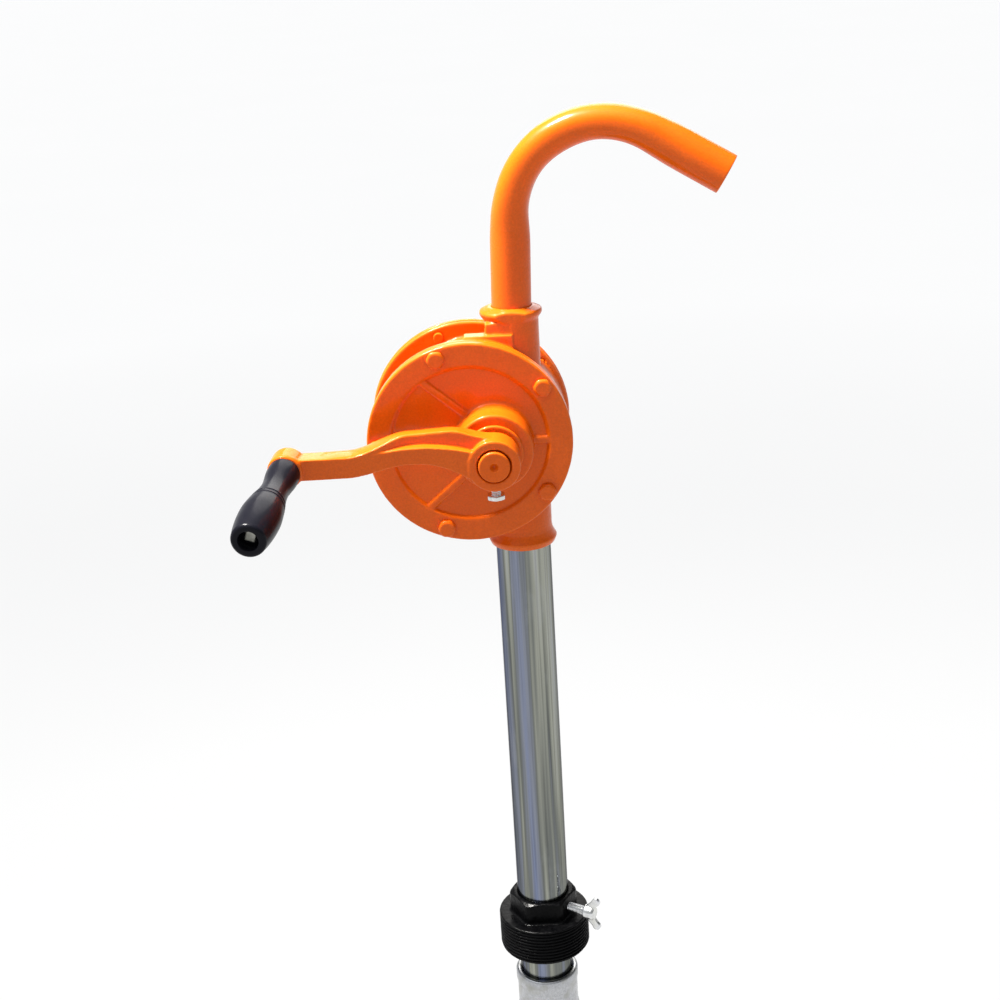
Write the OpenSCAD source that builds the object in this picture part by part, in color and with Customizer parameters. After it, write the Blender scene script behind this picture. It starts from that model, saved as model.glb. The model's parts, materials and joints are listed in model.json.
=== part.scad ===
// Rotary hand pump for a drum: crank pump on a suction tube, held in a threaded bung adapter.
// Origin: on the tube's axis, at the top of the bung thread. +Z up, crank shaft along Y, crank in front (-Y).

/* [Head] */
// Height of the pump casing's centre above the top of the bung thread
head_height = 341; // [250:1:344]
// Distance of the flange centre from the tube's axis, to the left
flange_offset = 28; // [26:0.5:30]
// Distance of the crank shaft from the tube's axis, to the left
shaft_offset = 13.6; // [13:0.1:14.5]
// Radius of the casing flanges and covers
flange_r = 60.8; // [59.5:0.1:64]
// Radius of the pumping chamber
chamber_r = 44.5; // [42:0.5:44.5]
// Distance of the chamber's centre from the tube's axis, to the left
chamber_offset = 21.3; // [21:0.1:21.6]
// Thickness of the barrel's wall round the chamber
barrel_wall = 7.5; // [5:0.5:8]

/* [Stack along the shaft] */
// Front face of the front cover's rim
cover_front_y = -28.8; // [-29.5:0.1:-28.2]
// Thickness of the front cover's rim
cover_t = 5; // [4.5:0.1:5.5]
// Thickness of the front gasket
front_gasket_t = 0.8; // [0.5:0.1:1]
// Thickness of the casing's front flange
front_flange_t = 6; // [5:0.5:7]
// Front face of the casing's rear flange
rear_flange_y = 24.5; // [22:0.5:25]
// Thickness of the casing's rear flange
rear_flange_t = 3.5; // [3:0.5:5]
// Thickness of the rear gasket
rear_gasket_t = 0.6; // [0.5:0.1:1]
// Thickness of the rear cover's rim
rear_cover_t = 4; // [4:0.5:6]

/* [Covers] */
// Radius of the round recess in each cover
recess_r = 46; // [40:0.5:48]
// Depth of the recess
recess_depth = 1.9; // [1:0.1:2.6]
// Width of the three ribs in the recess
rib_w = 4.2; // [3:0.2:8]
// Radius of the front boss that holds the shaft's bearing and packing
boss_r = 22.8; // [20:0.1:25]
// Front face of the front boss
boss_front_y = -48.5; // [-50:0.1:-47]
// Radius of the gland nut's flange
gland_r = 17; // [16:0.1:19]
// Height of the gland nut's flange above the boss
gland_h = 2.6; // [1:0.1:3]

/* [Cover bolts] */
// Bolts in each cover
bolt_count = 5; // [5]
// Radius of the bolt circle
bolt_circle_r = 54.6; // [54.2:0.1:55]
// Nominal radius of a cover bolt
bolt_r = 3; // [2.5:0.5:3]
// Width across flats of a bolt head
bolt_af = 10; // [8:0.5:11]
// Height of a bolt head
bolt_head_h = 3.3; // [2.5:0.1:5]

/* [Ports] */
// Outer radius of the outlet neck
outlet_neck_r = 16.2; // [16:0.1:17.4]
// Outer radius of the outlet collar
outlet_collar_r = 18.5; // [18:0.1:21]
// Height of the outlet collar's top above the casing's centre
outlet_top = 75.5; // [74:0.5:84]
// Outer radius of the inlet neck
inlet_neck_r = 18.3; // [18:0.1:19]
// Outer radius of the inlet collar
inlet_collar_r = 21; // [20.5:0.1:24]
// Depth of the inlet collar's lower face below the casing's centre
inlet_bottom = 73.5; // [72:0.5:80]
// Top and bottom of the port block, from the casing's centre
port_block_h = 61.5; // [58:0.5:62]

/* [Shaft and rotor] */
// Radius of the crank shaft in the front bearing
shaft_r = 9; // [8:0.5:9]
// Radius of the crank shaft inside the rotor and the rear bearing
shaft_rear_r = 7.5; // [6:0.5:7.5]
// Front end of the crank shaft
shaft_front_y = -75; // [-76:0.1:-74]
// Radial gap of a running fit
running_gap = 0.04; // [0.02:0.01:0.08]
// Gap between the rotor and the chamber at their nearest point
rotor_gap = 0.14; // [0.1:0.01:0.4]
// Thickness of a vane
vane_t = 8; // [5:0.5:10]
// Length of a vane along its slot
vane_l = 24; // [18:0.5:24]

/* [Crank] */
// Distance from the shaft's axis to the grip's axis
crank_l = 118; // [100:1:140]
// Height of the grip's axis above the shaft's axis
crank_rise = 3.2; // [0:0.1:5]
// Radius of the crank's hub
hub_r = 15.1; // [14:0.1:17]
// Front face of the hub
hub_front_y = -73.3; // [-74:0.1:-73]
// Length of the hub along the shaft
hub_l = 18.3; // [17:0.1:19.5]
// Front face of the arm
arm_front_y = -72.6; // [-73:0.1:-72]
// Thickness of the arm along the shaft
arm_t = 17; // [14:0.1:17.5]
// Depth of the face that is set back above the arm's front rib
arm_set_back = 5; // [3:0.5:8]
// Radius of the boss that holds the grip's spindle
grip_boss_r = 10.2; // [9.5:0.1:11]

/* [Grip] */
// Length of the grip
grip_l = 88; // [75:1:100]
// Largest radius of the grip
grip_belly_r = 11.6; // [10:0.1:14]
// Radius of the grip's neck
grip_neck_r = 8; // [7:0.1:9]
// Radius of the grip's free end
grip_end_r = 8.4; // [7:0.1:10]
// Angle by which the grip leans away from the shaft
grip_lean_out = 5.9; // [0:0.1:8]
// Angle by which the grip leans down
grip_lean_down = 4.7; // [0:0.1:8]

/* [Spout] */
// Outer radius of the spout pipe
spout_r = 11.8; // [10:0.1:12]
// Wall thickness of the spout pipe
spout_wall = 2; // [1.5:0.1:2.5]
// Height above the casing's centre at which the bend starts
spout_bend_start = 126; // [100:1:160]
// Centreline radius of the bend
spout_bend_r = 55.5; // [40:0.5:70]
// Angle of the bend
spout_bend = 118.5; // [60:0.5:130]
// Straight length after the bend
spout_end_l = 47.5; // [30:0.5:80]
// Angle by which the spout pipe leans over in its socket
spout_lean = 2; // [0:0.5:3]
// Angle by which the spout is turned towards the front
spout_turn = 10; // [-45:1:45]

/* [Suction tube] */
// Outer radius of the suction tube
tube_r = 16.85; // [16:0.05:17]
// Wall thickness of the suction tube
tube_wall = 2; // [1.5:0.1:3]
// Length of one tube section
section_l = 340; // [335:1:500]
// Outer radius of a tube coupling
coupling_r = 21; // [19:0.5:25]
// Length of a tube coupling
coupling_l = 38; // [30:1:38]
// Width of the notches in the tube's foot
notch_w = 8; // [4:1:12]
// Height of the notches in the tube's foot
notch_h = 12; // [5:1:20]

/* [Bung adapter] */
// Outer radius of the bung thread (G2)
thread_r = 29.8; // [29.8]
// Length of the bung thread
thread_l = 24; // [16:1:24]
// Radius over the corners of the hexagon
hex_corner_r = 23; // [22:0.1:25]
// Height of the hexagon's top
hex_top = 16; // [14:0.5:20]
// Height of the clamping screw's axis
screw_z = 7.5; // [6:0.5:10]
// Radius of the clamping screw
screw_r = 3; // [2.5:0.5:4]
// Direction of the clamping screw about the tube
screw_turn = -30; // [-30]

/* [Hidden] */
$fn = 96;
paint = [0.91, 0.36, 0.08];
black_iron = [0.03, 0.03, 0.03];
zinc = [0.75, 0.77, 0.8];
steel = [0.6, 0.6, 0.62];
bronze = [0.66, 0.48, 0.25];
fibre = [0.45, 0.38, 0.3];
plastic = [0.04, 0.04, 0.045];

cover_back_y = cover_front_y + cover_t;
front_flange_y = cover_back_y + front_gasket_t;
front_flange_back_y = front_flange_y + front_flange_t;
casing_back_y = rear_flange_y + rear_flange_t;
rear_cover_y = casing_back_y + rear_gasket_t;
rear_face_y = rear_cover_y + rear_cover_t;
barrel_r = chamber_r + barrel_wall;
edge_round = 1.2;

packing_bore_r = 14;
bush_front_r = 12;
bush_rear_r = 11;
front_bush_y = [-35.5, cover_back_y];
packing_y = [-42, -35.5];
rear_bush_y = [rear_cover_y, rear_cover_y + 11];
rear_boss_r = 17;
rear_boss_back_y = rear_bush_y[1] + 4;

rotor_r = chamber_r - chamber_offset + shaft_offset - rotor_gap;
rotor_y = [cover_back_y + 0.1, rear_cover_y - 0.1];
slot_bottom = rotor_r - vane_l - 0.3;
spring_pocket_r = 2.6;
spring_pocket_depth = 13;
spring_wire_r = 0.35;
spring_y = [-10, 15];
key_w = 5;
key_y = [-12, 16];

outlet_bore_r = spout_r - spout_wall;
outlet_seat = 55;
inlet_bore_r = tube_r - tube_wall;
inlet_seat = 64;
tube_top = head_height - inlet_seat;
joint_gap = 1;

wing_start = 32;
wing_reach = 11;

hub_y = [hub_front_y, hub_front_y + hub_l];
arm_y = [arm_front_y, arm_front_y + arm_t];
set_screw_y = (hub_y[0] + hub_y[1]) / 2;
crest_u = 24;
crest_rise = 0.9;
ledge_fade = [44, 68];
s_curve = [47.5, 83.5];
arm_outer = [-2.7, 9.8];
// Amount by which the arm is thinner at the grip, and the length of the grip's boss.
arm_taper = 3.2;
grip_boss_l = 13.8;
arm_crown = [3.5, 19.2];
spindle_r = 4;
spindle_square = 5.6;
spindle_square_l = 3;
grip_recess_l = 9;
grip_recess_r = 5.6;

bend_thinning = 0.15;

// ---- helpers ----

// Moves from the casing's centre height to the part's frame.
module at_head() {
    translate([0, 0, head_height]) children();
}

// Round bar along Y at (x, z).
module rod_y(x, z, y0, y1, r) {
    translate([x, y0, z]) rotate([-90, 0, 0]) cylinder(h = y1 - y0, r = r);
}

// Plate along Y from a flat outline whose axes are X and Z.
module plate_y(y0, y1) {
    translate([0, y1, 0]) rotate([90, 0, 0]) linear_extrude(y1 - y0) children();
}

// Turned solid about a Y axis at (x, z); the outline's axes are radius and Y.
module turned_y(x, z) {
    translate([x, 0, z]) rotate([-90, 0, 0]) rotate_extrude() children();
}

// Box given by two opposite corners.
module block(a, b) {
    translate(a) cube(b - a);
}

// Quarter round of radius r about c, from angle a0 to a1.
function arc(c, r, a0, a1, n = 6) = [for (i = [0:n]) let (a = a0 + (a1 - a0) * i / n)
    c + r * [cos(a), sin(a)]];

// Smooth step from 0 to 1 as u goes from a to b.
function smooth(a, b, u) = let (t = max(0, min(1, (u - a) / (b - a)))) t * t * (3 - 2 * t);

module at_bolts() {
    for (i = [0:bolt_count - 1])
        let (a = 36 + i * 360 / bolt_count)
            translate([-flange_offset + bolt_circle_r * cos(a), 0, bolt_circle_r * sin(a)]) children();
}

// Disc about a Y axis with both outer edges rounded.
module rounded_disc_y(x, y0, y1, r, e = edge_round) {
    turned_y(x, 0)
        polygon(concat([[0, y0]], arc([r - e, y0 + e], e, -90, 0),
            arc([r - e, y1 - e], e, 0, 90), [[0, y1]]));
}

// ---- bung adapter and clamping screw ----

module bung_adapter() {
    bore = tube_r + 2 * running_gap;
    shoulder = 1;
    color(black_iron) difference() {
        union() {
            translate([0, 0, -thread_l]) cylinder(h = thread_l, r = thread_r);
            rotate_extrude()
                polygon(concat([[0, -1]], [[thread_r, -1], [thread_r, 0]],
                               arc([thread_r - shoulder, 0], shoulder, 0, 90), [[0, shoulder]]));
            intersection() {
                cylinder(h = hex_top, r = hex_corner_r, $fn = 6);
                rotate_extrude()
                    polygon([[0, -1], [hex_corner_r, -1], [hex_corner_r, hex_top - 2],
                             [hex_corner_r - 3.4, hex_top], [0, hex_top]]);
            }
        }
        translate([0, 0, -thread_l - 1]) cylinder(h = thread_l + hex_top + 2, r = bore);
        translate([0, 0, -thread_l - 1]) cylinder(h = thread_l - 4, r = thread_r - 6);
        rotate([0, 0, screw_turn]) translate([bore - 2, 0, screw_z]) rotate([0, 90, 0])
            cylinder(h = hex_corner_r, r = screw_r + running_gap);
    }
}

// Frame of the clamping screw: +X points outwards along its axis.
module at_screw() {
    rotate([0, 0, screw_turn]) translate([0, 0, screw_z]) children();
}

module wing_screw_stud() {
    color(zinc) at_screw() translate([tube_r + 0.02, 0, 0]) rotate([0, 90, 0])
        cylinder(h = wing_start + 4 - tube_r, r = screw_r);
}

module wing_screw_head() {
    hub = [[0, 5], [5.5, 4.6], [7, 3.6]];
    color(zinc) at_screw() difference() {
        union() {
            translate([wing_start, 0, 0]) rotate([0, 90, 0]) rotate_extrude()
                polygon(concat([[0, 0]], [for (p = hub) [p[1], p[0]]], [[0, 7]]));
            for (side = [-1, 1]) translate([wing_start, 1.2, 0]) rotate([90, 0, 0]) linear_extrude(2.4) {
                polygon([[0.5, 0], [0.5, side * 4.4], [5.4, side * (wing_reach - 1.5)],
                         [10.6, side * (wing_reach - 2.4)], [6.6, side * 3], [6.6, 0]]);
                translate([8, side * (wing_reach - 2)]) circle(r = 2.8, $fn = 40);
            }
        }
        translate([wing_start - 1, 0, 0]) rotate([0, 90, 0])
            cylinder(h = 5.2, r = screw_r + running_gap);
    }
}

// ---- suction tube ----

// Tube section number i, counted down from the casing.
module tube_section(i, notched = false) {
    top = tube_top - i * (section_l + joint_gap);
    color(zinc) difference() {
        translate([0, 0, top - section_l]) cylinder(h = section_l, r = tube_r);
        translate([0, 0, top - section_l - 1]) cylinder(h = section_l + 2, r = tube_r - tube_wall);
        if (notched)
            for (a = [0, 90])
                rotate([0, 0, a]) translate([-tube_r - 1, -notch_w / 2, top - section_l - 1])
                    cube([2 * tube_r + 2, notch_w, notch_h + 1]);
    }
}

// Coupling over the joint below section number i.
module tube_coupling(i) {
    middle = tube_top - (i + 1) * section_l - (i + 0.5) * joint_gap;
    e = 1.5;
    color(zinc) translate([0, 0, middle - coupling_l / 2]) rotate_extrude()
        polygon([[tube_r + 0.02, 0], [coupling_r - e, 0], [coupling_r, e], [coupling_r, coupling_l - e],
                 [coupling_r - e, coupling_l], [tube_r + 0.02, coupling_l]]);
}

module suction_tube_upper() { tube_section(0); }
module suction_tube_middle() { tube_section(1); }
module suction_tube_lower() { tube_section(2, notched = true); }
module tube_coupling_upper() { tube_coupling(0); }
module tube_coupling_lower() { tube_coupling(1); }

// ---- casing ----

// Outlet neck: round on the right, square-cornered on the left, under a lip cut flush in front.
module outlet_neck() {
    corner = [15.4, 14.7];
    flush = outlet_neck_r;
    lip_foot = outlet_top - 8;
    difference() {
        union() {
            cylinder(h = lip_foot + 1, r = outlet_neck_r);
            rotate_extrude() polygon([[0, lip_foot], [outlet_neck_r, lip_foot],
                [outlet_collar_r - 0.3, outlet_top - 5.2], [outlet_collar_r, outlet_top - 4.6],
                [outlet_collar_r, outlet_top - 3], [outlet_collar_r - 0.4, outlet_top - 2.3],
                [spout_r + 1, outlet_top], [0, outlet_top]]);
        }
        for (side = [0, 1]) mirror([0, side, 0])
            block([-40, flush, lip_foot], [40, 40, outlet_top + 1]);
        block([-40, -40, port_block_h], [0, 40, lip_foot]);
    }
    translate([0, 0, port_block_h - 1]) linear_extrude(lip_foot + 1.5 - port_block_h)
        polygon([[1, 1 - flush], [0, 0.2 - flush], [-corner[0], -corner[1]], [-corner[0], corner[1]],
                 [0, flush - 0.2], [1, flush - 1]]);
}

module inlet_neck() {
    flare = [for (t = [0:0.125:1])
        [inlet_neck_r + (inlet_collar_r - 0.4 - inlet_neck_r) * pow(t, 1.7), -inlet_bottom + 11 - 6.6 * t]];
    translate([0, 0, -inlet_bottom + 8]) cylinder(h = inlet_bottom - 8, r = inlet_neck_r);
    rotate_extrude() polygon(concat([[0, -inlet_bottom + 14], [inlet_neck_r, -inlet_bottom + 14]], flare,
        arc([inlet_collar_r - 1, -inlet_bottom + 3.6], 1, 30, -30, 3),
        arc([inlet_collar_r - 2, -inlet_bottom + 0.8], 0.8, -30, -90, 3), [[0, -inlet_bottom]]));
}

// Square-cornered block behind the front flange, between the chamber and one port.
module port_block() {
    block([-flange_offset, front_flange_back_y - 1, 0], [0.5, -8, port_block_h]);
}

module chamber_space(y0, y1) {
    rod_y(-chamber_offset, 0, y0, y1, chamber_r);
}

module pump_casing() {
    color(paint) at_head() difference() {
        union() {
            rod_y(-chamber_offset, 0, front_flange_y + 1, casing_back_y - 1, barrel_r);
            rounded_disc_y(-flange_offset, front_flange_y, front_flange_back_y, flange_r - 0.3);
            rounded_disc_y(-flange_offset, rear_flange_y, casing_back_y, flange_r - 0.3);
            outlet_neck();
            inlet_neck();
            port_block();
            mirror([0, 0, 1]) port_block();
        }
        chamber_space(front_flange_y - 1, casing_back_y + 1);
        translate([0, 0, 20]) cylinder(h = outlet_top, r = outlet_bore_r);
        at_spout() translate([0, 0, outlet_seat]) cylinder(h = outlet_top, r = spout_r + 0.02);
        translate([0, 0, -inlet_bottom - 1]) cylinder(h = inlet_bottom - 20, r = inlet_bore_r);
        translate([0, 0, -inlet_bottom - 1]) cylinder(h = inlet_bottom + 1 - inlet_seat, r = tube_r + 0.02);
        at_bolts() rod_y(0, 0, front_flange_y - 1, front_flange_back_y + 3, bolt_r + 0.02);
        at_bolts() rod_y(0, 0, rear_flange_y - 3, casing_back_y + 1, bolt_r + 0.02);
    }
}

// ---- covers ----

// Rib number i from the boss out to the rim of the recess, as a flat bar.
module cover_rib(i, y0, y1) {
    a = [0, 124, 236][i];
    inner = [-shaft_offset, 0] + 12 * [cos(a), sin(a)];
    outer = [-flange_offset, 0] + (recess_r + 1) * [cos(a), sin(a)];
    run = outer - inner;
    plate_y(y0, y1) translate(inner) rotate(atan2(run[1], run[0]))
        translate([0, -rib_w / 2]) square([norm(run), rib_w]);
}

module front_cover() {
    fillet = 2.5;
    floor_y = cover_front_y + recess_depth;
    color(paint) at_head() difference() {
        union() {
            rod_y(-flange_offset, 0, floor_y, cover_back_y, recess_r + 1);
            turned_y(-flange_offset, 0)
                polygon(concat([[recess_r, cover_back_y], [recess_r, floor_y]],
                    arc([recess_r + 2, cover_front_y + 2], 2, 180, 270),
                    arc([flange_r - edge_round, cover_front_y + edge_round], edge_round, -90, 0),
                    arc([flange_r - 0.6, cover_back_y - 0.6], 0.6, 0, 90)));
            for (i = [0:2]) cover_rib(i, cover_front_y + 0.4, cover_back_y);
            turned_y(-shaft_offset, 0)
                polygon(concat([[0, boss_front_y]],
                    arc([boss_r - 1.6, boss_front_y + 1.6], 1.6, -90, 0),
                    arc([boss_r + fillet, floor_y - fillet], fillet, 180, 90),
                    [[boss_r + fillet, floor_y + 1], [0, floor_y + 1]]));
        }
        rod_y(-shaft_offset, 0, boss_front_y - 1, front_bush_y[0], packing_bore_r);
        rod_y(-shaft_offset, 0, front_bush_y[0] - 1, cover_back_y + 1, bush_front_r);
        at_bolts() rod_y(0, 0, cover_front_y - 1, cover_back_y + 1, bolt_r + 0.2);
    }
}

module rear_cover() {
    fillet = 2.5;
    floor_y = rear_face_y - 1.6;
    color(paint) at_head() difference() {
        union() {
            rod_y(-flange_offset, 0, rear_cover_y, floor_y, recess_r + 1);
            turned_y(-flange_offset, 0)
                polygon(concat([[recess_r, floor_y], [recess_r, rear_cover_y]],
                    arc([flange_r - 0.6, rear_cover_y + 0.6], 0.6, -90, 0),
                    arc([flange_r - edge_round, rear_face_y - edge_round], edge_round, 0, 90),
                    arc([recess_r + 1.5, rear_face_y - 1.5], 1.5, 90, 180)));
            for (i = [0:2]) cover_rib(i, rear_cover_y, rear_face_y - 0.2);
            turned_y(-shaft_offset, 0)
                polygon(concat([[0, floor_y - 1], [rear_boss_r + fillet, floor_y - 1]],
                    arc([rear_boss_r + fillet, floor_y + fillet], fillet, 270, 180),
                    arc([rear_boss_r - 2, rear_boss_back_y - 2], 2, 0, 90),
                    [[0, rear_boss_back_y]]));
        }
        rod_y(-shaft_offset, 0, rear_cover_y - 1, rear_bush_y[1], bush_rear_r);
        at_bolts() rod_y(0, 0, rear_cover_y - 1, rear_face_y + 1, bolt_r + 0.2);
    }
}

module gasket(y0, y1) {
    color(fibre) at_head() difference() {
        rod_y(-flange_offset, 0, y0, y1, flange_r - 0.9);
        chamber_space(y0 - 1, y1 + 1);
        at_bolts() rod_y(0, 0, y0 - 1, y1 + 1, bolt_r + 0.2);
    }
}

module front_gasket() { gasket(cover_back_y, front_flange_y); }
module rear_gasket() { gasket(casing_back_y, rear_cover_y); }

// Bolt along +Y from under its head at y = 0, with the head on the -Y side.
module cover_bolt(length) {
    rod_y(0, 0, 0, length, bolt_r);
    intersection() {
        translate([0, -bolt_head_h, 0]) rotate([-90, 0, 0])
            cylinder(h = bolt_head_h, r = bolt_af / sqrt(3), $fn = 6);
        turned_y(0, 0) polygon([[0, -bolt_head_h], [bolt_af / 2 - 0.9, -bolt_head_h],
                                [bolt_af / 2 + 0.35, -bolt_head_h + 1.1], [bolt_af / 2 + 0.35, 0], [0, 0]]);
    }
}

module front_cover_bolts() {
    color(paint) at_head() at_bolts() translate([0, cover_front_y, 0])
        cover_bolt(front_flange_back_y + 2.5 - cover_front_y);
}

module rear_cover_bolts() {
    color(paint) at_head() at_bolts() translate([0, rear_face_y, 0]) rotate([0, 0, 180])
        cover_bolt(rear_face_y - rear_flange_y + 2.8);
}

// ---- shaft bearing and seal ----

module sleeve_y(y0, y1, outer, inner) {
    at_head() difference() {
        rod_y(-shaft_offset, 0, y0, y1, outer);
        rod_y(-shaft_offset, 0, y0 - 1, y1 + 1, inner);
    }
}

module front_bearing_bush() {
    color(bronze) sleeve_y(front_bush_y[0], front_bush_y[1], bush_front_r, shaft_r + running_gap);
}

module rear_bearing_bush() {
    color(bronze) sleeve_y(rear_bush_y[0], rear_bush_y[1], bush_rear_r, shaft_rear_r + running_gap);
}

module shaft_packing() {
    color(fibre) sleeve_y(packing_y[0], packing_y[1], packing_bore_r, shaft_r + running_gap);
}

module gland_nut() {
    e = 1;
    front = boss_front_y - gland_h;
    bore = shaft_r + 2 * running_gap;
    color(paint) at_head() turned_y(-shaft_offset, 0)
        polygon(concat([[bore, packing_y[0]], [bore, front]],
            arc([gland_r - e, front + e], e, -90, 0),
            [[gland_r, boss_front_y], [packing_bore_r, boss_front_y], [packing_bore_r, packing_y[0]]]));
}

// ---- shaft, rotor and vanes ----

module drive_shaft() {
    e = 1;
    tip = shaft_front_y;
    step_y = rotor_y[0] - 0.2;
    back = rear_bush_y[1] - 0.5;
    color(steel) at_head() difference() {
        turned_y(-shaft_offset, 0)
            polygon(concat([[0, tip]], arc([shaft_r - e, tip + e], e, -90, 0, 4),
                [[shaft_r, step_y], [shaft_rear_r, step_y], [shaft_rear_r, back], [0, back]]));
        turned_y(-shaft_offset, 0)
            polygon([[0, tip - 1], [2.5, tip - 1], [2.5, tip + 0.3], [0.8, tip + 2.4], [0, tip + 2.4]]);
        block([-shaft_offset + shaft_rear_r - 2.5, key_y[0], -key_w / 2],
              [-shaft_offset + shaft_rear_r + 1, key_y[1], key_w / 2]);
    }
}

module rotor() {
    color(steel) at_head() difference() {
        rod_y(-shaft_offset, 0, rotor_y[0], rotor_y[1], rotor_r);
        rod_y(-shaft_offset, 0, rotor_y[0] - 1, rotor_y[1] + 1, shaft_rear_r + 0.02);
        for (side = [0, 1]) mirror([0, 0, side]) block(
            [-shaft_offset - vane_t / 2 - running_gap, rotor_y[0] - 1, slot_bottom],
            [-shaft_offset + vane_t / 2 + running_gap, rotor_y[1] + 1, rotor_r + 1]);
        block([-shaft_offset, key_y[0], -key_w / 2],
              [-shaft_offset + shaft_rear_r + 2.5, key_y[1], key_w / 2]);
    }
}

module rotor_key() {
    color(steel) at_head() block([-shaft_offset + shaft_rear_r - 2.5, key_y[0], -key_w / 2],
                                 [-shaft_offset + shaft_rear_r + 2.5, key_y[1], key_w / 2]);
}

// Vane drawn into its slot, with two blind pockets for the springs.
module vane() {
    outer = rotor_r - 0.2;
    translate([-shaft_offset, 0, 0]) difference() {
        intersection() {
            block([-vane_t / 2, rotor_y[0] + 0.05, outer - vane_l], [vane_t / 2, rotor_y[1] - 0.05, outer]);
            rod_y(0, 0, rotor_y[0], rotor_y[1], rotor_r - 0.1);
        }
        for (y = spring_y) translate([0, y, outer - vane_l - 1])
            cylinder(h = spring_pocket_depth + 1, r = spring_pocket_r);
    }
}

module vane_upper() { color(bronze) at_head() vane(); }
module vane_lower() { color(bronze) at_head() mirror([0, 0, 1]) vane(); }

// Coil spring along +Z from z0 to z1: a wire swept round a helix.
module coil_spring(z0, z1, turns = 5) {
    steps = 8;
    sides = 5;
    count = turns * steps;
    coil_r = spring_pocket_r - spring_wire_r - 0.15;
    lead = z1 - z0 - 2 * spring_wire_r;
    points = [for (i = [0:count]) for (s = [0:sides - 1])
        let (a = i * 360 / steps, b = s * 360 / sides, r = coil_r + spring_wire_r * cos(b))
            [r * cos(a), r * sin(a), z0 + spring_wire_r + lead * i / count + spring_wire_r * sin(b)]];
    walls = [for (i = [0:count - 1]) for (s = [0:sides - 1]) for (half = [0, 1])
        let (n = (s + 1) % sides, a = i * sides, b = a + sides)
            half == 0 ? [a + s, b + s, b + n] : [a + s, b + n, a + n]];
    ends = [[for (s = [0:sides - 1]) s], [for (s = [sides - 1:-1:0]) count * sides + s]];
    polyhedron(points, concat(walls, ends));
}

module vane_springs() {
    foot = slot_bottom + 0.02;
    head = rotor_r - 0.2 - vane_l + spring_pocket_depth - 0.05;
    color(steel) at_head() for (side = [0, 1]) mirror([0, 0, side])
        for (y = spring_y) translate([-shaft_offset, y, 0]) coil_spring(foot, head);
}

// ---- crank ----

// Heights of the arm's top, bottom and front ledge, at distance u from the shaft.
function arm_top(u) = u < crest_u
    ? arm_crown[1] + crest_rise - (arm_crown[1] + crest_rise - hub_r) * smooth(crest_u, 0, u)
    : arm_crown[1] + crest_rise * (1 - smooth(crest_u, s_curve[0], u))
        - (arm_crown[1] - arm_outer[1]) * smooth(s_curve[0], s_curve[1], u);
function arm_bottom(u) = u < s_curve[0]
    ? arm_crown[0] - 0.0113 * pow(s_curve[0] - 3 - min(u, s_curve[0] - 3), 2)
    : arm_crown[0] - (arm_crown[0] - arm_outer[0]) * smooth(s_curve[0], s_curve[1], u);
function arm_ledge(u) = arm_crown[1] - 5.8 - 0.0045 * pow(u - 43, 2);

// Arm as a plate, from the middle of the hub; its back comes forward towards the grip.
module arm_plate() {
    us = [for (i = [0:42]) i * (crank_l - 2) / 42];
    intersection() {
        plate_y(arm_y[0], arm_y[1]) polygon(concat([for (u = us) [-u, arm_top(u)]],
            [for (i = [42:-1:3]) [-us[i], arm_bottom(us[i])]], [[0, 0]]));
        translate([0, 0, -40]) linear_extrude(80) polygon(concat(
            [[1, arm_y[1]], [1, arm_y[0] - 1], [-crank_l, arm_y[0] - 1]],
            [for (u = [100:-5:60]) [u == 100 ? -crank_l : -u, arm_y[1] - arm_taper * smooth(60, 95, u)]]));
    }
}

// Space in front of the face that is set back, getting shallower away from the shaft.
module arm_pocket() {
    us = [for (i = [0:24]) i * ledge_fade[1] / 24];
    intersection() {
        plate_y(arm_y[0] - 1, arm_y[1]) polygon(concat([for (u = us) [-u, arm_top(u) + 5]],
            [for (i = [24:-1:0]) [-us[i], arm_ledge(us[i])]]));
        linear_extrude(60) polygon(concat([[-ledge_fade[1], arm_y[0] - 1], [0, arm_y[0] - 1]],
            [for (u = us) [-u, arm_y[0] + arm_set_back * (1 - smooth(ledge_fade[0], ledge_fade[1], u))]]));
    }
}

// Frame of the grip: origin on the arm's front face, -Y along the spindle.
module at_grip() {
    translate([-shaft_offset - crank_l, arm_y[0], crank_rise])
        rotate([grip_lean_down, 0, -grip_lean_out]) children();
}

module crank_arm() {
    color(paint) at_head() difference() {
        union() {
            turned_y(-shaft_offset, 0)
                polygon(concat(arc([hub_r - 1, hub_y[0] + 1], 1, -90, 0),
                    arc([hub_r - 1, hub_y[1] - 1], 1, 0, 90), [[0, hub_y[1]], [0, hub_y[0]]]));
            translate([-shaft_offset, 0, 0]) difference() {
                arm_plate();
                arm_pocket();
            }
            at_grip() turned_y(0, 0)
                polygon(concat(arc([grip_boss_r - 1.4, 0.4], 1.4, -90, 0),
                    arc([grip_boss_r - 2, grip_boss_l - 2], 2, 0, 90),
                    [[0, grip_boss_l], [0, -1]]));
        }
        rod_y(-shaft_offset, 0, hub_y[0] - 1, hub_y[1] + 1, shaft_r + 0.02);
        rod_y(-shaft_offset, 0, hub_y[0] - 1, hub_y[0] + 2.5, shaft_r + 0.9);
        translate([-shaft_offset, set_screw_y, -hub_r - 1]) cylinder(h = hub_r, r = bolt_r + 0.02);
        at_grip() rod_y(0, 0, -2, 18, spindle_r);
    }
}

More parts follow.
